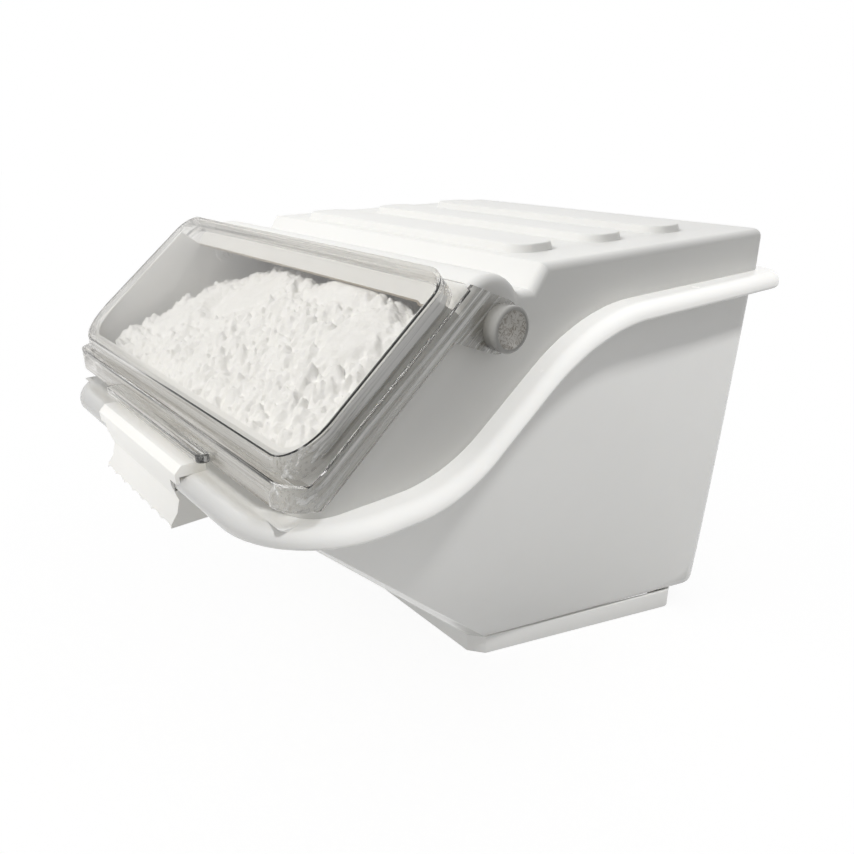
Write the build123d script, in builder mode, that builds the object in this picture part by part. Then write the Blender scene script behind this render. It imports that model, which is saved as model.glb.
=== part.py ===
from build123d import *
from math import atan2, cos, degrees, radians, sin, sqrt, tan
import os

# Shelf ingredient bin: a white hopper with a rolled rim, a white hood on the rim, a clear
# door that swings up and back on two round headed pins, and a pull handle over the front rim.
# Millimetres. X runs across the bin, the front faces -Y, Z is up, the origin is on the floor
# under the middle of the whole bin.

# Overall
DEPTH = 580.0          # handle lip to the back of the rim
WIDTH = 444.0          # across the rolled rim
HEIGHT = 431.0         # floor to the top of the ribs
Y_BACK = DEPTH / 2
HALF_W = WIDTH / 2

# Fits
SLIDE = 0.5            # locating lip inside the mouth of the bin
RUN = 0.08             # pin in the hood's bore, per side
PRESS = 0.0            # pin in the door's ear
SHELL_GAP = 1.5        # door walls off the hood's cheeks, per side
CLIP = 0.3             # handle off the rim

# Rolled rim, seen from above
HANDLE_OUT = 7.0       # handle lip in front of the rim
RIM_FRONT_Y = HANDLE_OUT - Y_BACK
RIM_R_FRONT = 78.0
RIM_R_BACK = 36.0
RIM_WIDTH = 38.0       # top surface of the rim, from its outer edge to the mouth
RIM_DROP = 15.0
RIM_ROLL = 10.5        # radius of the rolled outer edge
RIM_LOW_R = 3.5
RIM_SKIN = 6.0
LIP_THICK = 8.0        # rolled edge outside the hollow under the rim
RIM_HOLLOW = 14.0
HOOD_INSET = 22.5      # hood wall in from the outer edge of the rim

# Line where the hood meets the rim, seen from the side
RIB_H = 6.5
HOOD_RISE = 38.5       # hood above the back level
SEAM_FALL = 101.0      # front level below the back level
HOOD_TOP = HEIGHT - RIB_H
SEAM_BACK = HOOD_TOP - HOOD_RISE
SEAM_FRONT = SEAM_BACK - SEAM_FALL
S_START = RIM_FRONT_Y + 343.5   # where the back level starts to fall
S_ANGLE = 36.5
S_R_UPPER = 190.0
S_R_LOWER = 128.0

# Hopper
WALL = 3.2
FOOT_H = 20.0
FRONT_LEAN = 0.978     # how far the front wall comes forward for each unit up
FRONT_FLARE = 0.36     # how far its side edges spread for each unit up
FRONT_TOP_IN = 17.33   # front wall behind the rim's front edge, at the level of the rim
SIDE_TOP_IN = 27.6     # its side edges in from the rim's outer edge, at that level
BASE_FRONT_Y = RIM_FRONT_Y + FRONT_TOP_IN + FRONT_LEAN * (SEAM_FRONT - FOOT_H)
BASE_BACK_Y = Y_BACK - 22.0
FOOT_BACK_Y = Y_BACK - 56.0
BASE_FRONT_X = HALF_W - SIDE_TOP_IN - FRONT_FLARE * (SEAM_FRONT - FOOT_H)
BASE_SLOPE = 0.325     # how fast the base widens towards the back
TOP_FRONT_Z = SEAM_FRONT + 33.0
TOP_BACK_Z = SEAM_BACK + 14.0
TOP_BACK_Y = Y_BACK - 17.0
TOP_BACK_X = HALF_W - 25.5
CORNER_FACET = 12.0
BACK_R = 18.0
BACK_LOW_R = 13.0      # rounding under the back wall
FOOT_WALL = 4.0
FOOT_R = 10.0

# Hood
HOOD_T = 3.0
SHOULDER_R = 8.0
VALLEY_R = 5.0
STEP_R = 7.0
RIB_HALF_X = HALF_W - 62.0
RIB_W = 50.0
RIB_R = 20.0
RIB_TAPER = 18.0
RIB_EDGE_R = 1.8
RIB_COUNT = 3
HINGE_Y = RIM_FRONT_Y + 186.0
HINGE_Z = HOOD_TOP - 35.5
RIDGE_R = 34.0
VALLEY_Z = HOOD_TOP - 17.5
VALLEY_BACK_Y = HINGE_Y + 42.0
TOP_EDGE_Y = VALLEY_BACK_Y + 13.0
TOP_LENGTH = Y_BACK - HOOD_INSET - TOP_EDGE_Y
RIB_FIRST_Y = TOP_EDGE_Y + TOP_LENGTH * 0.12
RIB_PITCH = TOP_LENGTH * 0.2843
LIP_DROP = 8.0
HOOD_FRONT_Y = RIM_FRONT_Y + 30.5
HOOD_R_FRONT = 27.0
CHEEK_DROP = 6.0       # top edge of the cheeks below the outside of the door panel
CHEEK_END = 139.0      # where the cheeks stop, along the door panel
BEAM_S = 145.0         # front edge of the ridge, along the door panel
BEAM_LIP = 5.0         # how far that edge hangs below the highest inside of the ridge
BOSS_R = 13.0
BOSS_T = 4.0

# Clear door
DOOR_T = 3.0
PANEL_LOW_Y = RIM_FRONT_Y + 24.5
PANEL_LOW_Z = SEAM_FRONT + 45.0
PANEL_ANGLE = 39.4
PANEL_L = 158.4
LEDGE_DROP = 16.0
SKIRT_DROP = 34.3
SKIRT_OUT = 5.5
DOOR_BOTTOM = SEAM_FRONT + 12.5
DOOR_FRONT_Y = RIM_FRONT_Y + 23.0
UPPER_R = 30.0         # front corners of the window, seen from above
SKIRT_R = 27.0
TOP_R = 22.0           # its rear corners
LEDGE_FRONT_Z = SEAM_FRONT + 31.0
REAR_FLANGE = 4.0
EAR_R = 19.0
TAB_HALF_X = HALF_W - 124.0
TAB_D = 9.0
TAB_H = 7.0
TAB_R = 5.5
TAB_EDGE_R = 1.6

# Pins
PIN_R = 6.0
HEAD_R = 16.5
HEAD_T = 12.0
HEAD_EDGE_R = 2.2
FACE_R = 14.0          # shallow dish in the head
FACE_DEEP = 0.8
BARB_R = 7.0
BARB_L = 3.0

# Handle
GRIP_HALF_X = 70.0
SADDLE_HALF_X = 82.0
SADDLE_TOP = SEAM_FRONT + 8.5
GRIP_BOTTOM = SEAM_FRONT - 44.0
GRIP_T = 3.2
SCALLOPS = 7
SCALLOP_DEPTH = 2.6

HOOD_X = HALF_W - HOOD_INSET
HOOD_BACK_Y = Y_BACK - HOOD_INSET
FAR = 600.0


def plan(inset):
    """Rounded outline of the rim seen from above, drawn in by inset."""
    x = HALF_W - inset
    front, back = RIM_FRONT_Y + inset, Y_BACK - inset
    rf, rb = max(RIM_R_FRONT - inset, 3.0), max(RIM_R_BACK - inset, 3.0)
    with BuildSketch() as sk:
        with BuildLine():
            Line((-x + rf, front), (x - rf, front))
            RadiusArc((x - rf, front), (x, front + rf), -rf)
            Line((x, front + rf), (x, back - rb))
            RadiusArc((x, back - rb), (x - rb, back), -rb)
            Line((x - rb, back), (-x + rb, back))
            RadiusArc((-x + rb, back), (-x, back - rb), -rb)
            Line((-x, back - rb), (-x, front + rf))
            RadiusArc((-x, front + rf), (-x + rf, front), -rf)
        make_face()
    return sk.sketch


# The seam falls from the back level to the front level in two arcs joined by a straight
a = radians(S_ANGLE)
u1 = (S_START - S_R_UPPER * sin(a), SEAM_BACK - S_R_UPPER * (1 - cos(a)))
fall = u1[1] - (SEAM_FRONT + S_R_LOWER * (1 - cos(a)))
u2 = (u1[0] - fall / tan(a), u1[1] - fall)
S_END = u2[0] - S_R_LOWER * sin(a)


def seam_band(low, high):
    """Everything between two levels measured up from the seam, right across the bin."""
    with BuildPart() as band:
        with BuildSketch(Plane.YZ):
            with BuildLine():
                lower = []
                for dz, rev in ((low, False), (high, True)):
                    p = [(-FAR, SEAM_FRONT + dz), (S_END, SEAM_FRONT + dz), (u2[0], u2[1] + dz),
                         (u1[0], u1[1] + dz), (S_START, SEAM_BACK + dz), (FAR, SEAM_BACK + dz)]
                    lower.append(p)
                    Line(p[0], p[1])
                    TangentArc(p[1], p[2], tangent=(1, 0))
                    Line(p[2], p[3])
                    TangentArc(p[4], p[3], tangent=(-1, 0))
                    Line(p[4], p[5])
                Line(lower[0][0], lower[1][0])
                Line(lower[0][5], lower[1][5])
            make_face()
        extrude(amount=FAR, both=True)
    return band.part


def seam_ring(outer_inset, inner_inset, low, high):
    """Ring between two outlines of the rim's plan, kept between two levels at the seam."""
    with BuildPart() as ring:
        with BuildSketch(Plane.XY):
            add(plan(outer_inset))
            if inner_inset:
                add(plan(inner_inset), mode=Mode.SUBTRACT)
        extrude(amount=FAR)
        add(seam_band(low, high), mode=Mode.INTERSECT)
    return ring.part


def side_solid(points, half):
    """A side view outline, carried across the bin."""
    with BuildPart() as s:
        with BuildSketch(Plane.YZ):
            with BuildLine():
                Polyline(*points, close=True)
            make_face()
        extrude(amount=half, both=True)
    return s.part


def hopper(inset, floor):
    """Hopper drawn in by inset: narrow at the front of the base, wide at the rim."""
    slant = inset * sqrt(1 + FRONT_LEAN ** 2)

    def outline(z, back, xb, back_z):
        front = BASE_FRONT_Y - FRONT_LEAN * (z - FOOT_H) + slant
        xf = BASE_FRONT_X + FRONT_FLARE * (z - FOOT_H) - inset
        pitch = atan2(back_z - z, back - front)
        length = (back - front) / cos(pitch)
        facet = CORNER_FACET * FOOT_H / z if z > FOOT_H * 2 else CORNER_FACET
        up = facet * (xb - xf) / length
        right = [(xf - facet, 0), (xf + up, facet), (xb, length)]
        with BuildSketch(Plane(origin=(0, front, z), x_dir=(1, 0, 0),
                               z_dir=(0, -sin(pitch), cos(pitch)))) as sk:
            with BuildLine():
                Polyline(*right, *[(-x, y) for x, y in reversed(right)], close=True)
            make_face()
        return sk.sketch

    base_x = BASE_FRONT_X + BASE_SLOPE * (BASE_BACK_Y - BASE_FRONT_Y) - inset
    with BuildPart() as h:
        low = outline(floor, BASE_BACK_Y - inset, base_x, floor)
        top = outline(TOP_FRONT_Z, TOP_BACK_Y - inset, TOP_BACK_X - inset, TOP_BACK_Z)
        add(loft([low, top], ruled=True))
        back = h.faces().sort_by(Axis.Y)[-1]
        uprights = [e for e in back.edges() if abs(e.tangent_at(0.5).Z) > 0.7]
        fillet(uprights, BACK_R - inset)
        under = [e for e in h.edges()
                 if abs(e.center().Z - floor) < 0.01 and e.center().Y > BASE_BACK_Y - BACK_R]
        fillet(under, BACK_LOW_R - inset)
    return h.part


def along(s, n):
    """Point on the side view from its distance along the door panel and its height off it."""
    t = radians(PANEL_ANGLE)
    return (PANEL_LOW_Y + s * cos(t) - n * sin(t), PANEL_LOW_Z + s * sin(t) + n * cos(t))


def on_line(n, y):
    """Height at y of the line that runs parallel to the door panel at n off it."""
    y0, z0 = along(0, n)
    return z0 + (y - y0) * tan(radians(PANEL_ANGLE))


def at_height(n, z):
    y0, z0 = along(0, n)
    return y0 + (z - z0) / tan(radians(PANEL_ANGLE))


def seam_height(y):
    if y <= S_END:
        return SEAM_FRONT
    if y < u2[0]:
        return SEAM_FRONT + S_R_LOWER - sqrt(S_R_LOWER ** 2 - (y - S_END) ** 2)
    if y < u1[0]:
        return u2[1] + (y - u2[0]) * tan(a)
    if y < S_START:
        return SEAM_BACK - S_R_UPPER + sqrt(S_R_UPPER ** 2 - (S_START - y) ** 2)
    return SEAM_BACK


# Hopper with its foot and rolled rim
with BuildPart() as rim:
    add(seam_ring(0, RIM_WIDTH, -RIM_DROP, 0))
    half = RIM_WIDTH / 2
    rolled = [e for e in rim.edges() if abs(e.tangent_at(0.5).Z) < 0.9 and
              (abs(e.center().X) > HALF_W - half or e.center().Y < RIM_FRONT_Y + half
               or e.center().Y > Y_BACK - half)]
    top_edges = [e for e in rolled if e.center().Z > seam_height(e.center().Y) - RIM_DROP / 2]
    low_edges = [e for e in rolled if e not in top_edges]
    fillet(top_edges, RIM_ROLL)
    fillet(low_edges, RIM_LOW_R)

with BuildPart() as bin_body:
    outer, inside = hopper(0, FOOT_H), hopper(WALL, FOOT_H + WALL)
    add(outer)
    # taken out twice, the second time a little higher, so that no skin is left across the mouth
    with Locations((0, 0, 0), (0, 0, 2)):
        add(inside, mode=Mode.SUBTRACT)
    with BuildSketch(Plane.XY):
        with BuildLine():
            back_x = BASE_FRONT_X + BASE_SLOPE * (FOOT_BACK_Y - BASE_FRONT_Y)
            up = CORNER_FACET * BASE_SLOPE
            foot = [(BASE_FRONT_X - CORNER_FACET, BASE_FRONT_Y),
                    (BASE_FRONT_X + up, BASE_FRONT_Y + CORNER_FACET),
                    (back_x, FOOT_BACK_Y)]
            Polyline(*foot, *[(-x, y) for x, y in reversed(foot)], close=True)
        make_face()
        fillet([v for v in vertices() if v.Y > FOOT_BACK_Y - 1], FOOT_R)
        offset(amount=-FOOT_WALL, mode=Mode.SUBTRACT)
    extrude(amount=FOOT_H + 1.0)
    add(seam_band(0, FAR), mode=Mode.SUBTRACT)
    add(rim.part)
    add(seam_ring(LIP_THICK, LIP_THICK + RIM_HOLLOW, -FAR / 4, -RIM_SKIN) - outer, mode=Mode.SUBTRACT)
    add(seam_ring(RIM_WIDTH, 0, -LIP_DROP - SLIDE, FAR / 4), mode=Mode.SUBTRACT)
bin_body.part.label = "bin_body"

# White hood: a shell with the hinge ridge, the cross valley, three ribs and a locating lip
k = (TOP_EDGE_Y - VALLEY_BACK_Y) / (HOOD_TOP - VALLEY_Z)
tilt = radians(PANEL_ANGLE)
s_hinge = (HINGE_Y - PANEL_LOW_Y) * cos(tilt) + (HINGE_Z - PANEL_LOW_Z) * sin(tilt)
n_hinge = (HINGE_Z - PANEL_LOW_Z) * cos(tilt) - (HINGE_Y - PANEL_LOW_Y) * sin(tilt)


def hood_side(t, half):
    """Side view of the hood drawn in by t, carried across the bin. The inside is open in front."""
    r = RIDGE_R - t
    s0 = BEAM_S + t
    start = along(s0, n_hinge + sqrt(r ** 2 - (s_hinge - s0) ** 2))
    floor = VALLEY_Z - t
    end = (HINGE_Y + sqrt(r ** 2 - (floor - HINGE_Z) ** 2), floor)
    slope = lambda z: VALLEY_BACK_Y + (z - VALLEY_Z) * k + t * sqrt(1 + k * k)
    front, low = HOOD_FRONT_Y + t, SEAM_FRONT - 50
    if t == 0:
        head = [(front, low), (front, on_line(-CHEEK_DROP, front)), along(CHEEK_END, -CHEEK_DROP), start]
    else:
        beam = n_hinge + r - BEAM_LIP
        head = [(front, low), (front, HOOD_TOP + 60), along(BEAM_S, 60), along(BEAM_S, beam),
                along(s0, beam), start]
    with BuildPart() as hs:
        with BuildSketch(Plane.YZ):
            with BuildLine():
                Polyline(*head)
                CenterArc((HINGE_Y, HINGE_Z), r,
                          degrees(atan2(end[1] - HINGE_Z, end[0] - HINGE_Y)),
                          degrees(atan2(start[1] - HINGE_Z, start[0] - HINGE_Y)
                                  - atan2(end[1] - HINGE_Z, end[0] - HINGE_Y)))
                Polyline(end, (slope(floor), floor), (slope(HOOD_TOP - t), HOOD_TOP - t),
                         (HOOD_BACK_Y - t, HOOD_TOP - t), (HOOD_BACK_Y - t, low), (front, low))
            make_face()
            fillet([v for v in vertices() if abs(v.Z - floor) < 0.01], VALLEY_R + t)
            fillet([v for v in vertices() if abs(v.Z - HOOD_TOP + t) < 0.01 and v.Y < 0], STEP_R - t)
        extrude(amount=half, both=True)
    return hs.part


def round_uprights(solid, t):
    """Rounds the four corners of the hood seen from above."""
    for here, r in ((lambda y: y < HOOD_FRONT_Y + t + 1, HOOD_R_FRONT - t),
                    (lambda y: y > HOOD_BACK_Y - t - 1, RIM_R_BACK - HOOD_INSET - t)):
        ups = solid.edges().filter_by(Axis.Z).filter_by(lambda e: e.length > 5 and abs(e.center().X) > 1)
        fillet([e for e in ups if here(e.center().Y)], r)


with BuildPart() as hood_inside:
    add(hood_side(HOOD_T, HOOD_X - HOOD_T))
    round_uprights(hood_inside, HOOD_T)

behind_front = [(HOOD_FRONT_Y + 1, 0), (FAR, 0), (FAR, FAR), (HOOD_FRONT_Y + 1, FAR)]
lip_inset = RIM_WIDTH + SLIDE

with BuildPart() as hood:
    add(hood_side(0, HOOD_X))
    round_uprights(hood, 0)
    shoulder = [e for e in hood.edges() if e.center().Z > VALLEY_Z - 2 and e.center().Y > HINGE_Y - RIDGE_R
                and e.length > 0.5 and not (abs(e.tangent_at(0.5).Z) > 0.99)
                and (abs(e.center().X) > HOOD_X - 14 or e.center().Y > HOOD_BACK_Y - 1)
                and (abs(e.tangent_at(0.5).X) < 0.99 or e.center().Y > HOOD_BACK_Y - 1)]
    fillet(shoulder, SHOULDER_R)
    add(hood_inside.part, mode=Mode.SUBTRACT)
    for i in range(RIB_COUNT):
        with BuildSketch(Plane.XY.offset(HOOD_TOP - 1.0)):
            with Locations((0, RIB_FIRST_Y + i * RIB_PITCH)):
                RectangleRounded(RIB_HALF_X * 2, RIB_W, RIB_R)
        extrude(amount=RIB_H + 1.0, taper=RIB_TAPER)
    rib_tops = hood.faces().filter_by(Axis.Z).sort_by(Axis.Z)[-RIB_COUNT:]
    fillet([e for f in rib_tops for e in f.edges()], RIB_EDGE_R)
    add(seam_band(-FAR / 2, 0), mode=Mode.SUBTRACT)
    add(seam_ring(HOOD_INSET + 1.5, lip_inset + HOOD_T, 0, HOOD_T) & side_solid(behind_front, FAR))
    add(seam_ring(lip_inset, lip_inset + HOOD_T, -LIP_DROP, HOOD_T))
    for side in (-1, 1):
        with BuildSketch(Plane.YZ.offset(side * (HOOD_X - HOOD_T))):
            with Locations((HINGE_Y, HINGE_Z)):
                Circle(BOSS_R)
        extrude(amount=-side * BOSS_T)
    with BuildSketch(Plane.YZ):
        with Locations((HINGE_Y, HINGE_Z)):
            Circle(PIN_R + RUN)
    extrude(amount=FAR, both=True, mode=Mode.SUBTRACT)
hood.part.label = "hood"

# Clear door: a shallow tray over the opening, with a ledge, a skirt, two ears and a lift tab
UPPER_X = HOOD_X + SHELL_GAP + DOOR_T
SKIRT_X = UPPER_X + SKIRT_OUT


def tray(points, half, front, r_front, back, r_back):
    """Side view outline across the door, rounded in plan in front and along the panel behind."""
    t = radians(PANEL_ANGLE)
    with BuildPart() as tr:
        add(side_solid(points, half))
        with BuildSketch(Plane.XY):
            with BuildLine():
                Line((-half + r_front, front), (half - r_front, front))
                RadiusArc((half - r_front, front), (half, front + r_front), -r_front)
                Polyline((half, front + r_front), (half, FAR), (-half, FAR), (-half, front + r_front))
                RadiusArc((-half, front + r_front), (-half + r_front, front), -r_front)
            make_face()
        extrude(amount=FAR, mode=Mode.INTERSECT)
        y0, z0 = along(back, 0)
        with BuildSketch(Plane(origin=(0, y0, z0), x_dir=(1, 0, 0), z_dir=(0, -sin(t), cos(t)))):
            with BuildLine():
                Line((-half + r_back, 0), (half - r_back, 0))
                RadiusArc((half - r_back, 0), (half, -r_back), r_back)
                Polyline((half, -r_back), (half, -FAR), (-half, -FAR), (-half, -r_back))
                RadiusArc((-half, -r_back), (-half + r_back, 0), r_back)
            make_face()
        extrude(amount=FAR / 2, both=True, mode=Mode.INTERSECT)
    return tr.part


t, low_n = DOOR_T, -LEDGE_DROP - DOOR_T
low_z = LEDGE_FRONT_Z - t
tail = PANEL_L + REAR_FLANGE
skirt_y = DOOR_FRONT_Y - SKIRT_OUT

with BuildPart() as lift_tab:
    with BuildSketch(Plane.XY.offset(DOOR_BOTTOM)):
        with Locations((0, skirt_y + 1.5 - TAB_D / 2)):
            RectangleRounded(TAB_HALF_X * 2, TAB_D + 3.0, TAB_R)
    extrude(amount=TAB_H)
    ends = lift_tab.edges().filter_by(lambda e: abs(e.tangent_at(0.5).Z) < 0.1 and e.center().Y < skirt_y + 1)
    fillet(ends, TAB_EDGE_R)
    add(side_solid([(skirt_y + t, 0), (0, 0), (0, FAR), (skirt_y + t, FAR)], FAR), mode=Mode.SUBTRACT)

with BuildPart() as flip_door:
    upper = [along(0, 0), along(PANEL_L, 0), along(PANEL_L, low_n), (at_height(low_n, low_z), low_z),
             (DOOR_FRONT_Y, low_z), (DOOR_FRONT_Y, on_line(0, DOOR_FRONT_Y))]
    add(tray(upper, UPPER_X, DOOR_FRONT_Y, UPPER_R, PANEL_L, TOP_R))
    lower = [(skirt_y, DOOR_BOTTOM), (skirt_y, LEDGE_FRONT_Z),
             (at_height(-LEDGE_DROP, LEDGE_FRONT_Z), LEDGE_FRONT_Z),
             along(tail, -LEDGE_DROP), along(tail, -SKIRT_DROP),
             (at_height(-SKIRT_DROP, DOOR_BOTTOM), DOOR_BOTTOM)]
    add(tray(lower, SKIRT_X, skirt_y, SKIRT_R, tail, TOP_R / 2))
    hollow = [(DOOR_FRONT_Y + t, 0), (DOOR_FRONT_Y + t, on_line(-t, DOOR_FRONT_Y + t)),
              along(PANEL_L - t, -t), along(PANEL_L - t, -FAR / 2)]
    add(tray(hollow, UPPER_X - t, DOOR_FRONT_Y + t, UPPER_R - t, PANEL_L - t, TOP_R - t), mode=Mode.SUBTRACT)
    below = [(skirt_y + t, 0), (skirt_y + t, low_z), (at_height(low_n, low_z), low_z),
             along(tail + 30, low_n), along(tail + 30, -FAR / 2)]
    add(tray(below, SKIRT_X - t, skirt_y + t, SKIRT_R - t, tail + 30, 1.0), mode=Mode.SUBTRACT)
    for side in (-1, 1):
        with BuildSketch(Plane.YZ.offset(side * SKIRT_X)) as ear:
            with BuildLine():
                Polyline(along(128, -LEDGE_DROP), along(tail, -LEDGE_DROP), along(tail, -SKIRT_DROP),
                         along(128, -SKIRT_DROP), close=True)
            make_face()
            with Locations((HINGE_Y, HINGE_Z)):
                Circle(EAR_R)
            make_hull()
        extrude(amount=-side * t)
    with BuildSketch(Plane.YZ):
        with Locations((HINGE_Y, HINGE_Z)):
            Circle(PIN_R + PRESS)
    extrude(amount=FAR, both=True, mode=Mode.SUBTRACT)
    add(lift_tab.part)
flip_door.part.label = "flip_door"

# Hinge pins: a thick round head outside the ear, a shank through the cheek, a snap ring inside
def pin_shape(side):
    boss_face = HOOD_X - HOOD_T - BOSS_T
    with BuildPart() as pin:
        with BuildSketch(Plane.YZ.offset(side * SKIRT_X)):
            with Locations((HINGE_Y, HINGE_Z)):
                Circle(HEAD_R)
        extrude(amount=side * HEAD_T)
        outside = pin.faces().sort_by(Axis.X)[-1 if side > 0 else 0]
        fillet(outside.edges(), HEAD_EDGE_R)
        with BuildSketch(Plane.YZ.offset(side * (SKIRT_X + HEAD_T))):
            with Locations((HINGE_Y, HINGE_Z)):
                Circle(FACE_R)
        extrude(amount=-side * FACE_DEEP, mode=Mode.SUBTRACT)
        with BuildSketch(Plane.YZ.offset(side * (boss_face - BARB_L - 0.5))):
            with Locations((HINGE_Y, HINGE_Z)):
                Circle(PIN_R)
        extrude(amount=side * (SKIRT_X - boss_face + BARB_L + 1.0))
        with BuildSketch(Plane.YZ.offset(side * (boss_face - 0.5))):
            with Locations((HINGE_Y, HINGE_Z)):
                Circle(BARB_R)
        extrude(amount=-side * BARB_L, taper=14)
    return pin.part


with BuildPart() as hinge_pin_left:
    add(pin_shape(-1))
hinge_pin_left.part.label = "hinge_pin_left"

with BuildPart() as hinge_pin_right:
    add(pin_shape(1))
hinge_pin_right.part.label = "hinge_pin_right"

# Pull handle: a saddle over the front rim, a hollow grip under it and a web at each side
with BuildPart() as pull_handle:
    y0, z0 = RIM_FRONT_Y, SEAM_FRONT
    low_rim = SEAM_FRONT - RIM_DROP
    grip = [(y0 + 20, z0), (y0 + 20, z0 + 5), (y0 + 15.5, SADDLE_TOP), (y0 + 2, SADDLE_TOP),
            (y0 - GRIP_T - CLIP, z0 + 3), (y0 - GRIP_T - CLIP + 0.8, z0 - 10), (y0 + 1.5, z0 - 23),
            (y0 - 1.0, z0 - 33), (-Y_BACK + 0.5, GRIP_BOTTOM + 3), (-Y_BACK, GRIP_BOTTOM),
            (-Y_BACK + GRIP_T, GRIP_BOTTOM), (y0 + 2.2, z0 - 34), (y0 + 1.5 + GRIP_T, z0 - 23),
            (y0 + 7, low_rim - 3.5), (y0 + 7, low_rim - CLIP), (y0 - CLIP, low_rim - CLIP), (y0 - CLIP, z0)]
    add(side_solid(grip, GRIP_HALF_X))
    bar = [(y0 + 20, z0), (y0 + 20, z0 + 5), (y0 + 15.5, SADDLE_TOP), (y0 + 2, SADDLE_TOP),
           (y0 - GRIP_T - CLIP, z0 + 3), (y0 - GRIP_T - CLIP + 0.5, z0 - 5), (y0 - CLIP, z0 - 5),
           (y0 - CLIP, z0)]
    add(side_solid(bar, SADDLE_HALF_X))
    wall_y = lambda z: BASE_FRONT_Y - FRONT_LEAN * (z - FOOT_H) - CLIP
    web = [(-Y_BACK + GRIP_T / 2, GRIP_BOTTOM), (wall_y(GRIP_BOTTOM), GRIP_BOTTOM),
           (wall_y(low_rim - CLIP), low_rim - CLIP), (y0 + 3, low_rim - CLIP), (y0 + 3, z0 - 23),
           (y0, z0 - 34)]
    for side in (-1, 1):
        with BuildSketch(Plane.YZ.offset(side * GRIP_HALF_X)):
            with BuildLine():
                Polyline(*web, close=True)
            make_face()
        extrude(amount=-side * GRIP_T)
    pitch = 2 * GRIP_HALF_X / SCALLOPS
    big = ((pitch / 2) ** 2 + SCALLOP_DEPTH ** 2) / (2 * SCALLOP_DEPTH)
    with BuildSketch(Plane.XZ.offset(Y_BACK + 5)):
        with Locations(*[(pitch * (i - (SCALLOPS - 1) / 2), GRIP_BOTTOM + SCALLOP_DEPTH - big)
                         for i in range(SCALLOPS)]):
            Circle(big)
    extrude(amount=-16.0, mode=Mode.SUBTRACT)
pull_handle.part.label = "pull_handle"

os.makedirs("parts", exist_ok=True)
export_step(bin_body.part, "parts/bin_body.step")
export_step(hood.part, "parts/hood.step")
export_step(flip_door.part, "parts/flip_door.step")
export_step(hinge_pin_left.part, "parts/hinge_pin_left.step")
export_step(hinge_pin_right.part, "parts/hinge_pin_right.step")
export_step(pull_handle.part, "parts/pull_handle.step")
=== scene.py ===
from math import copysign, cos, hypot, pi, radians, sin

import bmesh
import bpy
import numpy as np
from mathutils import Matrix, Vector


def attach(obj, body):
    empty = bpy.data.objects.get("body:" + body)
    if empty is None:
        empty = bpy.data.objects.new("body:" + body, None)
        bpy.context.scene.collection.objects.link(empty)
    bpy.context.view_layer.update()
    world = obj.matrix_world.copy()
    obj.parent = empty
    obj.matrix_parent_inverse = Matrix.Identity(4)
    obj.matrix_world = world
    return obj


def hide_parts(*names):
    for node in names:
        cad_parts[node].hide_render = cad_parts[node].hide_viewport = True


# The shelf ingredient bin, dressed: moulded white hopper, hood and handle, clear door and
# pins, and the flour that fills it. Metres, +Z up, the door to -Y.
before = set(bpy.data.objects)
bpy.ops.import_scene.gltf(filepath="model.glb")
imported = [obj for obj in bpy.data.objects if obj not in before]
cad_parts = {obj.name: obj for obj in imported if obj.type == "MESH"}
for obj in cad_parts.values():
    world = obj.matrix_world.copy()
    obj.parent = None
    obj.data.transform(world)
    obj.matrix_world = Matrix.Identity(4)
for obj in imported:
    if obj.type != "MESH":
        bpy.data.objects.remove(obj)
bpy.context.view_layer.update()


class Value:
    """A number carried by a socket; sums and products on it add Math nodes."""

    def __init__(self, finish, socket):
        self.finish, self.socket = finish, socket

    def math(self, operation, *others):
        n = self.finish.tree.nodes.new("ShaderNodeMath")
        n.operation = operation
        for place, x in zip(n.inputs, (self, *others)):
            self.finish.feed(place, x)
        return Value(self.finish, n.outputs[0])

    def __add__(self, x): return self.math("ADD", x)
    def __radd__(self, x): return self.math("ADD", x)
    def __mul__(self, x): return self.math("MULTIPLY", x)
    def __rmul__(self, x): return self.math("MULTIPLY", x)
    def __sub__(self, x): return self.math("SUBTRACT", x)
    def __rsub__(self, x): return (self * -1).math("ADD", x)
    def __pow__(self, x): return self.math("POWER", x)
    def over(self, low, high): return ((self - low) * (1 / (high - low))).clip()
    def clip(self): return self.math("MINIMUM", 1).math("MAXIMUM", 0)


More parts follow.
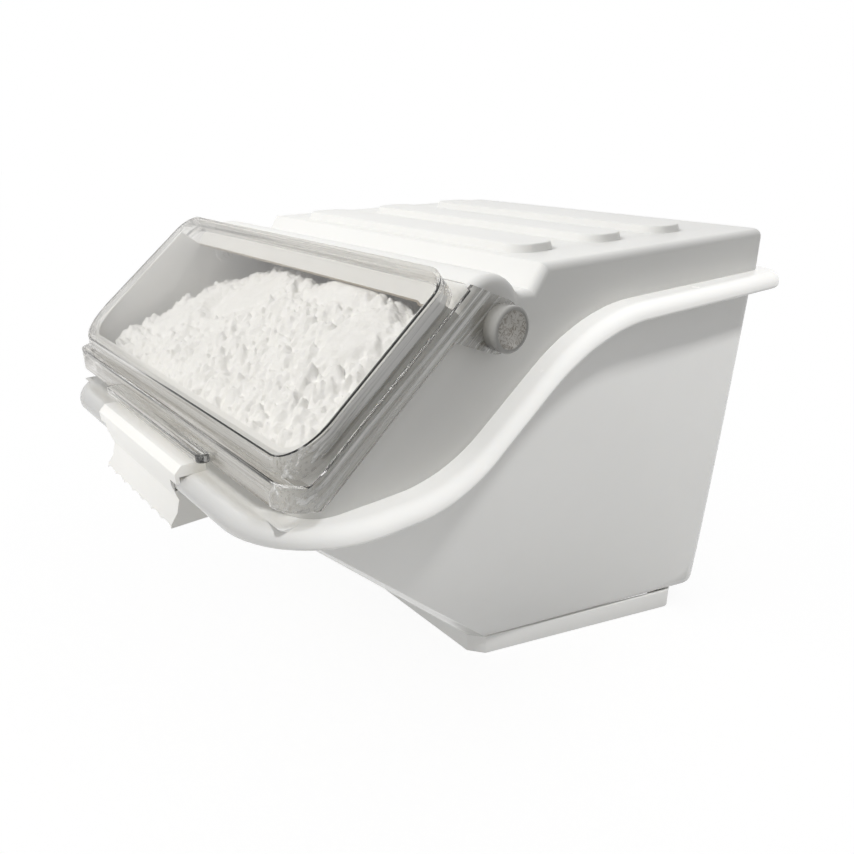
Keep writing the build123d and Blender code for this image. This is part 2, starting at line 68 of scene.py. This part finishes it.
class Finish:
    """A node material around one Principled shader, with constants set on its own sockets."""

    def __init__(self, name, **constants):
        self.material = bpy.data.materials.new(name)
        self.material.use_nodes = True
        self.tree = self.material.node_tree
        self.shader = self.tree.nodes["Principled BSDF"]
        self.output = self.tree.nodes["Material Output"]
        for socket, x in constants.items():
            self.shader.inputs[socket.replace("_", " ")].default_value = x
        self.place = self.node("ShaderNodeTexCoord").outputs["Object"]

    def feed(self, place, x):
        if isinstance(x, Value):
            self.tree.links.new(x.socket, place)
        elif hasattr(x, "is_output"):
            self.tree.links.new(x, place)
        else:
            place.default_value = x

    def node(self, kind, settings=None, **inputs):
        n = self.tree.nodes.new(kind)
        for k, x in (settings or {}).items():
            setattr(n, k, x)
        for k, x in inputs.items():
            self.feed(n.inputs[int(k[1:])] if k[0] == "_" else n.inputs[k.replace("_", " ")], x)
        return n

    def value(self, kind, settings=None, out=0, **inputs):
        return Value(self, self.node(kind, settings, **inputs).outputs[out])

    def noise(self, scale, detail=3.0, stretch=None, turn=(0, 0, 0), **more):
        where = self.place
        if stretch:
            where = self.node("ShaderNodeMapping", {"vector_type": "TEXTURE"}, Vector=where, Rotation=turn,
                              Scale=tuple(1 / s for s in stretch)).outputs[0]
        return self.value("ShaderNodeTexNoise", Vector=where, Scale=scale, Detail=detail, **more)

    def blend(self, mask, a, b):
        return self.node("ShaderNodeMix", {"data_type": "RGBA"}, Factor=mask, _6=a, _7=b).outputs[2]

    def wear(self, **links):
        for socket, x in links.items():
            self.feed(self.shader.inputs[socket.replace("_", " ")], x)

    def bumps(self, height, distance, strength=1.0):
        self.wear(Normal=self.node("ShaderNodeBump", Height=height, Distance=distance,
                                   Strength=strength).outputs[0])

    def cover(self, mask, other):
        """Mix another shader over this finish's own where the mask is 1."""
        n = self.node("ShaderNodeMixShader", Fac=mask, _1=self.shader.outputs[0], _2=other.outputs[0])
        self.tree.links.new(n.outputs[0], self.output.inputs["Surface"])


def shade(colour, k):
    return tuple(c * k for c in colour[:3]) + (1,)


# painted shade: from here back the walls inside the hood are painted a brown shade
PAINTED_SHADE_START_Y, PAINTED_SHADE_END_Y = -.062, -.048      # where a wall's inside turns to the brown tone


def moulded_white(name, colour, roughness, grain, painted_shade=None):
    """Injection moulded white plastic: faint cloudiness, fine moulded texture, uneven gloss. The last
    argument, when given, is a brown painted over the walls inside, behind the hinge: painted shade."""
    f = Finish(name, IOR=1.49, Subsurface_Weight=.1, Subsurface_Radius=(.02, .018, .015),
               Subsurface_Scale=.2)
    clouds = f.noise(9.0, 4.0)
    scuffs = f.noise(60.0, 6.0, stretch=(1, 1, .25))
    tone_and_painted_shade = f.blend(clouds.over(.35, .7), colour, shade(colour, .975))
    # painted shade: behind the hinge a wall's inside turns to a painted brown shade
    if painted_shade:
        y = f.value("ShaderNodeSeparateXYZ", out=1, _0=f.place)
        tone_and_painted_shade = f.blend(y.over(PAINTED_SHADE_START_Y, PAINTED_SHADE_END_Y), tone_and_painted_shade, painted_shade)
    f.wear(Base_Color=tone_and_painted_shade,
           Roughness=roughness + (f.noise(38.0, 5.0) - .5) * .1 + scuffs.over(.62, .8) * .08)
    f.bumps(f.noise(grain, 3.0) + f.noise(45.0, 2.0) * 3.0, .00006, .6)
    return f.material


def clear_plastic(name, tint, edge, painted_streak_share, stretch, turn=(0, 0, 0), roughness=.04):
    """Clear moulded plastic: a painted dark tint, standing in for dark refraction, where the eye passes
    along a wall, with painted bright flow lines where the wall pipes light and painted thin dark ones beside
    them. The fourth argument is the share of bright lines."""
    f = Finish(name, Roughness=roughness, IOR=1.49, Transmission_Weight=1.0)
    grazing = f.value("ShaderNodeLayerWeight", out=1, Blend=.4)
    lines = f.noise(1.0, 3.0, stretch=stretch, turn=turn)
    painted_dark_lines = f.noise(2.6, 1.0, stretch=stretch, turn=turn)
    # painted shade: the base colour turns to the dark edge colour at grazing angles and along thin dark
    # lines beside the streaks
    dark = (grazing.over(.15, .9) + painted_dark_lines.over(.58, .66) * .55 * (1 if painted_streak_share else 0)).clip()
    f.wear(Base_Color=f.blend(dark, tint, edge))
    f.bumps(lines, .0006, .3)
    shader = f.shader
    if painted_streak_share:
        # painted highlight: an opaque white shader laid along the streaks where the wall pipes light
        white = f.node("ShaderNodeBsdfPrincipled", Base_Color=(.93, .925, .91, 1), Roughness=.3, IOR=1.49)
        bright = lines.over(.66 - painted_streak_share, .76 - painted_streak_share)
        shader = f.node("ShaderNodeMixShader", Fac=bright * .75, _1=f.shader.outputs[0], _2=white.outputs[0])
    through = f.node("ShaderNodeBsdfTransparent", Color=shade(tint, .97))
    covered = f.node("ShaderNodeMixShader", Fac=f.node("ShaderNodeLightPath").outputs["Is Shadow Ray"],
                     _1=shader.outputs[0], _2=through.outputs[0])
    f.tree.links.new(covered.outputs[0], f.output.inputs["Surface"])
    return f.material


PANEL_ANGLE = radians(39.4)      # slope of the door's window
SLOPE = (PANEL_ANGLE, 0, 0)
# the second colour is painted shade: the brown of the hood's dim inside
HOOD_COLOUR, PAINTED_SHADE_COLOUR = (.83, .825, .80, 1), (.42, .35, .26, 1)
hood_white = moulded_white("hood_white", HOOD_COLOUR, .34, 1500.0)
# painted shade: the hood's ceiling and rear wall inside are painted brown, its side walls inside brown
# behind the hinge
hood_inside_painted_shade = moulded_white("hood_inside_painted_shade", PAINTED_SHADE_COLOUR, .5, 1200.0)
hood_cheek_painted_shade = moulded_white("hood_cheek_painted_shade", HOOD_COLOUR, .4, 1500.0, painted_shade=PAINTED_SHADE_COLOUR)
bin_white = moulded_white("bin_white", (.86, .855, .835, 1), .22, 900.0)
handle_white = moulded_white("handle_white", (.84, .83, .80, 1), .42, 2200.0)
window_clear = clear_plastic("window_clear", (.98, .975, .965, 1), (.70, .68, .64, 1), .0, (4, 4, 4))
band_front = clear_plastic("band_front", (.90, .895, .88, 1), (.40, .37, .33, 1), .14, (3, 160, 160))
# painted shade: the side bands take a greyer, darker copy of the front band's clear plastic, for the door's
# side in shade
band_side_painted_shade = clear_plastic("band_side_painted_shade", (.80, .795, .78, 1), (.36, .33, .29, 1), .13, (160, 3, 160), SLOPE)
# painted dark lines: the door's roundings take a dark grey tint that stands in for dark refraction at its
# edges
door_edge_painted_dark = clear_plastic("door_edge_painted_dark", (.62, .60, .56, 1), (.14, .12, .10, 1), .0, (20, 20, 20))

HINGE_Y, HINGE_Z = -.097, .389
TAB_FRONT_Y = -.2658             # the lift tab stands out in front of the skirt from here
FACE_R = .0137                   # grained face of a pin's head
pin = Finish("pin_clear", Roughness=.16, IOR=1.49, Transmission_Weight=.45)
yz = pin.node("ShaderNodeVectorMath", {"operation": "SUBTRACT"}, _0=pin.place, _1=(0, HINGE_Y, HINGE_Z))
flat = pin.node("ShaderNodeVectorMath", {"operation": "MULTIPLY"}, _0=yz.outputs[0], _1=(0, 1, 1))
radius = pin.value("ShaderNodeVectorMath", {"operation": "LENGTH"}, out=1, _0=flat.outputs[0])
face = 1 - radius.over(FACE_R - .0008, FACE_R + .0002)
grain = pin.noise(230.0, 4.0, Distortion=1.2)
veins = ((grain - .5).math("ABSOLUTE") * -1 + .05).over(0, .05)
stone = pin.blend(veins, (.66, .64, .60, 1), (.24, .20, .15, 1))
# painted shade: the clear head is tinted the grey of the shaded hood side behind it
pin.wear(Base_Color=pin.blend(face, (.66, .65, .62, 1), stone))
pin.bumps(grain * face, .0005, .5)
# the grained face is opaque, the rest of the head is clear
grained = pin.node("ShaderNodeBsdfPrincipled", Base_Color=stone, Roughness=.3, IOR=1.49)
pin.cover(face * .85, grained)
pin_clear = pin.material


WALL_X, WALL_END_X = .190, .198  # the hood's side walls lie between these inside
CEILING_Z, REAR_Y, REAR_X = .385, .200, .197
BAND_X = .180                    # the door's side bands start here


def under_the_hood(c, n):
    """Faces of the hood's ceiling and of its rear wall inside, 1, which are painted brown shade, and of its
    side walls inside, 2, which are painted brown shade behind the hinge.
    """
    if WALL_X < abs(c.x) < WALL_END_X and n.x * c.x < 0 and abs(n.x) > .9:
        return 2
    return (n.z < -.25 and c.z > CEILING_Z) or (c.y > REAR_Y and n.y < -.7 and abs(c.x) < REAR_X)


def door_part(c, n):
    """Which of the door's finishes a face takes: window and tab, front band or side band."""
    in_slope = abs(n.z * cos(PANEL_ANGLE) - n.y * sin(PANEL_ANGLE)) > .985
    if (in_slope and abs(c.x) < BAND_X) or c.y < TAB_FRONT_Y:
        return 0
    return 2 if abs(n.x) > .35 or abs(c.x) > BAND_X else 1


def rounded_copy(node, name, body, finishes, width, choose=lambda c, n: 0, segments=3, edge=-1):
    """The node's own shape with its sharp edges rounded, unless width is 0; choose picks the finish
    of each face, and edge is the finish of the roundings, or -1 where they take their neighbours'."""
    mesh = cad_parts[node].data.copy()
    bm = bmesh.new()
    bm.from_mesh(mesh)
    bmesh.ops.remove_doubles(bm, verts=bm.verts, dist=1e-6)
    if width:
        bmesh.ops.dissolve_limit(bm, angle_limit=radians(.6), verts=bm.verts, edges=bm.edges)
    bm.to_mesh(mesh)
    bm.free()
    mesh.materials.clear()
    for m in finishes:
        mesh.materials.append(m)
    for p in mesh.polygons:
        p.material_index = 0
    o = bpy.data.objects.new(name, mesh)
    bpy.context.scene.collection.objects.link(o)
    if width:
        b = o.modifiers.new("round", "BEVEL")
        b.width, b.segments, b.limit_method, b.angle_limit = width, segments, "ANGLE", radians(28)
        b.use_clamp_overlap, b.material = True, edge
    done = bpy.data.meshes.new_from_object(o.evaluated_get(bpy.context.evaluated_depsgraph_get()))
    o.modifiers.clear()
    o.data = done
    for p in done.polygons:
        p.use_smooth = True
        if p.material_index == 0:
            p.material_index = int(choose(p.center, p.normal))
    done.set_sharp_from_angle(angle=radians(32))
    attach(o, body)
    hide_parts(node)
    return o


hood = rounded_copy("hood", "hood_shell", "hood", [hood_white, hood_inside_painted_shade, hood_cheek_painted_shade],
                    .0012, under_the_hood)
hopper = rounded_copy("bin_body", "hopper", "bin", [bin_white], .0012)
handle = rounded_copy("pull_handle", "handle", "bin", [handle_white], .0009)
door = rounded_copy("flip_door", "door", "door",
                    [window_clear, band_front, band_side_painted_shade, door_edge_painted_dark], .0014, door_part, 4, edge=3)
pins = [rounded_copy(f"hinge_pin_{side}", f"pin_{side}", "door", [pin_clear], 0)
        for side in ("left", "right")]


def lattice(x, y, seed):
    """Smooth random field on a unit lattice, from -1 to 1."""
    xi, yi = np.floor(x).astype(int), np.floor(y).astype(int)
    fx, fy = x - xi, y - yi
    fx, fy = fx * fx * (3 - 2 * fx), fy * fy * (3 - 2 * fy)

    def at(i, j):
        n = np.sin(i * 127.1 + j * 311.7 + seed * 74.7) * 43758.5453
        return (n - np.floor(n)) * 2 - 1
    top = at(xi, yi) * (1 - fx) + at(xi + 1, yi) * fx
    low = at(xi, yi + 1) * (1 - fx) + at(xi + 1, yi + 1) * fx
    return top * (1 - fy) + low * fy


def layers(x, y, size, count, seed, sharp=False):
    """Several sizes of the field added up; sharp folds it into lumps with narrow creases."""
    total, amount = 0, 1.0
    for k in range(count):
        turn = .6 + k
        u, v = x * cos(turn) - y * sin(turn), x * sin(turn) + y * cos(turn)
        n = lattice(u / size, v / size, seed + k)
        total = total + amount * ((2 * np.abs(n) - 1) if sharp else n)
        size, amount = size / 2.1, amount * .52
    return total


def ease(x, low, high):
    t = np.clip((x - low) / (high - low), 0, 1)
    return t * t * (3 - 2 * t)


def patch(x, y, cx, cy, rx, ry, turn=0.0):
    """1 in the middle of an ellipse, 0 outside it."""
    a = radians(turn)
    u = ((x - cx) * cos(a) + (y - cy) * sin(a)) / rx
    v = ((y - cy) * cos(a) - (x - cx) * sin(a)) / ry
    return 1 - ease(np.sqrt(u * u + v * v), .72, 1.12)


# Flour: millimetres while it is shaped. It fills the hopper and stands off every wall.
CREST_X = [-180, -127, -60, -27, 16, 70, 112, 157, 180]
CREST_Z = [358, 375, 389, 397, 390, 401, 401, 391, 381]
CREST_Y, FOOT_Y = -125.0, -262.0    # the crest, and where the heap meets the door's front
FOOT_Z, FOOT_RISE = 303.0, 14.0     # its height there, and how much more on the far left
BACK_DROP, BACK_Y = 80.0, 20.0      # the fall behind the crest, and where it ends
PLATE_Y, PLATE_Z = -130.5, 397.3    # from here back it stays under the lip of the hood's ridge
# ellipses as centre, half sizes and turn: one dug by the scoop, others only smooth, with how much
SCOOP, SCOOP_DEPTH = (-62, -150, 52, 30, 12), 9.0
SMOOTHED = [((-130, -170, 34, 40, 0), .7), ((62, -132, 42, 13, 0), .85), ((128, -158, 20, 30, -30), .9)]
CREVICED = (95, -190, 90, 50, 20)


def flour_height(x, y):
    """Height of the flour, a heap behind the window that the scoop has cut smooth in places."""
    crest = np.interp(x, CREST_X, CREST_Z)
    foot = FOOT_Z + FOOT_RISE * ease(-x, 90, 180)
    up = np.clip((y - FOOT_Y) / (CREST_Y - FOOT_Y), 0, 1)
    z = foot + (crest - foot) * up * (1.25 - .25 * up) - BACK_DROP * ease(y, CREST_Y + 3, BACK_Y)
    z = z + 2.5 * layers(x, y, 60, 2, 3)
    scoop = smooth = patch(x, y, *SCOOP)
    for place, amount in SMOOTHED:
        smooth = np.maximum(smooth, patch(x, y, *place) * amount)
    z = z - SCOOP_DEPTH * scoop
    crumbs = 1 - smooth
    lumps = 3.4 * layers(x, y, 19, 3, 11, True) + 2.0 * layers(x, y, 6.5, 3, 29, True)
    crevices = patch(x, y, *CREVICED) * np.minimum(layers(x, y, 12, 2, 53, True) + .35, 0)
    z = z + crumbs * (lumps + 5.0 * crevices) + .4 * layers(x, y, 3.2, 2, 41)
    return z - np.maximum(z - PLATE_Z, 0) * ease(y, PLATE_Y - 3, PLATE_Y)


FLOUR_X, FLOUR_FRONT, FLOUR_BACK = 179.4, -240.0, 240.0
FLOUR_R, LIP_R = 14.5, 35.0      # its front corners above the hood's lip, and inside it
LEDGE_Z = 288.0                  # top of that lip in front
FINE, COARSE = 1.2, 5.0          # spacing of the surface in sight and behind the ridge
IN_SIGHT_Y = 30.0
NECK_Z, NECK_FRONT, NECK_SHARE = 262.0, -234.0, .985     # under the lip, and how much narrower it is
FLOOR_Z, FLOOR_FRONT, FLOOR_FRONT_X, FLOOR_SLOPE = 25.0, -4.0, 92.0, .30     # on the hopper's floor
xs = np.linspace(-FLOUR_X, FLOUR_X, 2 * int(FLOUR_X / FINE) + 1)
ys = np.concatenate([np.arange(FLOUR_FRONT, IN_SIGHT_Y, FINE),
                     np.arange(IN_SIGHT_Y, FLOUR_BACK + 1, COARSE)])
gx, gy = np.meshgrid(xs, ys)
gz = flour_height(gx, gy)
dx = np.maximum(np.abs(gx) - (FLOUR_X - FLOUR_R), 0)
dy = np.maximum(FLOUR_FRONT + FLOUR_R - gy, 0)
corner = np.hypot(dx, dy)
kept = corner < FLOUR_R + .01
index = np.full(gx.shape, -1)
index[kept] = np.arange(kept.sum())
corners = [index[:-1, :-1], index[:-1, 1:], index[1:, 1:], index[1:, :-1]]
whole = np.all([c >= 0 for c in corners], axis=0)
quads = np.stack([c[whole] for c in corners], 1)
mesh = bpy.data.meshes.new("flour")
mesh.from_pydata(np.stack([gx[kept], gy[kept], gz[kept]], 1), [], quads.tolist())
bm = bmesh.new()
bm.from_mesh(mesh)
bmesh.ops.delete(bm, geom=[v for v in bm.verts if not v.link_faces], context="VERTS")
edges = [e for e in bm.edges if e.is_boundary]


def skirt(edges):
    """Draw the open edge of the flour out into a new ring of faces."""
    made = bmesh.ops.extrude_edge_only(bm, edges=edges)["geom"]
    return ([e for e in made if isinstance(e, bmesh.types.BMEdge) and e.is_boundary],
            [v for v in made if isinstance(v, bmesh.types.BMVert)])


def inside_lip(x, y):
    """The point of the outline, drawn in to the wider radius of the lip's front corner."""
    dx, dy = abs(x) - (FLOUR_X - LIP_R), FLOUR_FRONT + LIP_R - y
    k = min(1, LIP_R / hypot(dx, dy)) if dx > 0 and dy > 0 else 1
    return copysign(abs(x) - dx * (1 - k), x), y + dy * (1 - k)


# down to the ledge of the hood's lip, in over it, down through the lip to the neck, then to the floor
edges, ring = skirt(edges)
for v in ring:
    v.co.z = min(v.co.z - 1, LEDGE_Z + 1)
edges, ring = skirt(edges)
for v in ring:
    v.co = (*inside_lip(v.co.x, v.co.y), v.co.z - .4)
edges, ring = skirt(edges)
for v in ring:
    v.co = (v.co.x * NECK_SHARE, max(v.co.y, NECK_FRONT), NECK_Z)
edges, ring = skirt(edges)
for v in ring:
    back = (v.co.y - NECK_FRONT) / (FLOUR_BACK - NECK_FRONT)
    y = FLOOR_FRONT + back * (FLOUR_BACK - FLOOR_FRONT)
    v.co = (v.co.x / FLOUR_X * (FLOOR_FRONT_X + FLOOR_SLOPE * (y - FLOOR_FRONT)), y, FLOOR_Z)
bmesh.ops.holes_fill(bm, edges=edges, sides=0)
bmesh.ops.recalc_face_normals(bm, faces=bm.faces)
bmesh.ops.scale(bm, vec=(.001, .001, .001), verts=bm.verts)
bm.to_mesh(mesh)
bm.free()
for p in mesh.polygons:
    p.use_smooth = True
mesh.set_sharp_from_angle(angle=radians(70))
flour_white = Finish("flour_white", Roughness=.95, Subsurface_Weight=.1, Subsurface_Scale=.5,
                     Subsurface_Radius=(.004, .004, .0035), Specular_IOR_Level=.1)
clumps = flour_white.noise(120.0, 4.0)
flour_white.wear(Base_Color=flour_white.blend(clumps.over(.4, .65), (.94, .935, .92, 1),
                                              (.89, .885, .865, 1)))
flour_white.bumps(flour_white.noise(420.0, 6.0) + clumps * .6, .0009, .8)
mesh.materials.append(flour_white.material)
flour = bpy.data.objects.new("flour", mesh)
bpy.context.scene.collection.objects.link(flour)
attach(flour, "bin")

# Camera, fitted to the photo's straight edges
CAM_YAW, CAM_PITCH = radians(50.65), radians(21.9)
CAM_PLACE, CAM_LENS = (.565, -.453, .517), 31.79


def toward(azimuth, height):
    """Unit vector from the object: azimuth 0 points to the front, a quarter turn to the right."""
    return Vector((sin(azimuth) * cos(height), -cos(azimuth) * cos(height), sin(height)))


cam = bpy.data.objects.new("camera", bpy.data.cameras.new("camera"))
bpy.context.scene.collection.objects.link(cam)
cam.location = CAM_PLACE
cam.rotation_mode = "QUATERNION"
cam.rotation_quaternion = (-toward(CAM_YAW, CAM_PITCH)).to_track_quat("-Z", "Y")
cam.data.sensor_width, cam.data.lens = 36.0, CAM_LENS
cam.data.clip_start, cam.data.clip_end = .02, 50
bpy.context.scene.camera = cam

# Floor: white to the camera and in reflections, with a soft shadow under the bin
FLOOR_SHARE, FLOOR_GLOW, FLOOR_HALF = .3, .86, 9.0
floor_white = Finish("floor_white", Roughness=.9, Specular_IOR_Level=0)
path = floor_white.node("ShaderNodeLightPath").outputs
seen = (Value(floor_white, path["Is Camera Ray"]) + Value(floor_white, path["Is Glossy Ray"])
        + Value(floor_white, path["Is Transmission Ray"])).clip()
# not once it has lit a surface: light that comes in through the clear door is no view of the room
seen = seen * Value(floor_white, path["Diffuse Depth"]).math("LESS_THAN", .5)
floor_white.wear(Base_Color=floor_white.blend(seen, (.8, .8, .79, 1), (*[FLOOR_SHARE] * 3, 1)))
glow = floor_white.node("ShaderNodeEmission", Color=(1, 1, 1, 1), Strength=FLOOR_GLOW)
floor_white.cover(seen, floor_white.node("ShaderNodeAddShader", _0=floor_white.shader.outputs[0],
                                         _1=glow.outputs[0]))
mesh = bpy.data.meshes.new("floor")
mesh.from_pydata([(x * FLOOR_HALF, y * FLOOR_HALF, 0) for x, y in ((-1, -1), (1, -1), (1, 1), (-1, 1))],
                 [], [(0, 1, 2, 3)])
mesh.materials.append(floor_white.material)
floor = bpy.data.objects.new("floor", mesh)
bpy.context.scene.collection.objects.link(floor)

# Sky: a weak light that is brighter overhead, and white where the camera or a gloss sees it
SKY_LOW, SKY_HIGH = .30, .55
world = bpy.data.worlds.new("studio")
bpy.context.scene.world = world
world.use_nodes = True
sky_nodes, sky_links = world.node_tree.nodes, world.node_tree.links
sky = sky_nodes["Background"]
sky.inputs["Color"].default_value = (1, 1, 1, 1)
split = sky_nodes.new("ShaderNodeSeparateXYZ")
sky_links.new(sky_nodes.new("ShaderNodeTexCoord").outputs["Generated"], split.inputs[0])
level = sky_nodes.new("ShaderNodeMapRange")
sky_links.new(split.outputs["Z"], level.inputs["Value"])
level.inputs["To Min"].default_value, level.inputs["To Max"].default_value = SKY_LOW, SKY_HIGH
sky_links.new(level.outputs[0], sky.inputs["Strength"])
white = sky_nodes.new("ShaderNodeBackground")
white.inputs["Color"].default_value = (1, 1, 1, 1)
rays = sky_nodes.new("ShaderNodeLightPath").outputs
seen = rays["Is Camera Ray"]
for kind in ("Is Glossy Ray", "Is Transmission Ray"):
    either = sky_nodes.new("ShaderNodeMath")
    either.operation = "MAXIMUM"
    sky_links.new(seen, either.inputs[0])
    sky_links.new(rays[kind], either.inputs[1])
    seen = either.outputs[0]
unlit, first = sky_nodes.new("ShaderNodeMath"), sky_nodes.new("ShaderNodeMath")
unlit.operation, first.operation = "LESS_THAN", "MULTIPLY"
unlit.inputs[1].default_value = .5
for end, start in ((unlit.inputs[0], rays["Diffuse Depth"]), (first.inputs[0], seen),
                   (first.inputs[1], unlit.outputs[0])):
    sky_links.new(start, end)
seen = first.outputs[0]
pick = sky_nodes.new("ShaderNodeMixShader")
for end, start in zip(pick.inputs, (seen, sky.outputs[0], white.outputs[0])):
    sky_links.new(start, end)
sky_links.new(pick.outputs[0], sky_nodes["World Output"].inputs[0])


def group(name, *objects):
    c = bpy.data.collections.new(name)
    for o in objects:
        c.objects.link(o)
    return c


def lamp(name, lights, azimuth, height, distance, size, level, aim=(0, 0, .2)):
    """Soft box round the point it aims at: azimuth 0 is in front and 90 on the right, in degrees."""
    data = bpy.data.lights.new(name, "AREA")
    data.shape, data.size = "SQUARE", size
    data.energy = pi ** 2 * distance ** 2 * level
    o = bpy.data.objects.new(name, data)
    bpy.context.scene.collection.objects.link(o)
    way = toward(radians(azimuth), radians(height))
    o.location = Vector(aim) + way * distance
    o.rotation_mode = "QUATERNION"
    o.rotation_quaternion = (-way).to_track_quat("-Z", "Y")
    o.visible_glossy = o.visible_transmission = False
    o.light_linking.receiver_collection = lights


upper = group("upper_pieces", hood, door, flour, *pins)
lower = group("lower_pieces", hopper, handle)
lamp("key", upper, -12, 50, 2.4, .5, .62)
lamp("side", lower, 93, 57, 1.6, .15, .55)
lamp("low", lower, 58, -2, .5, .3, .15, (.1, -.02, .06))
lamp("low_front", group("hopper_only", hopper), 0, -8, .5, .3, .30, (0, -.05, .1))
lamp("front", group("handle_only", handle), -10, 15, 1.2, .4, .40)

bpy.context.scene.view_settings.view_transform = "Standard"
bpy.context.view_layer.update()
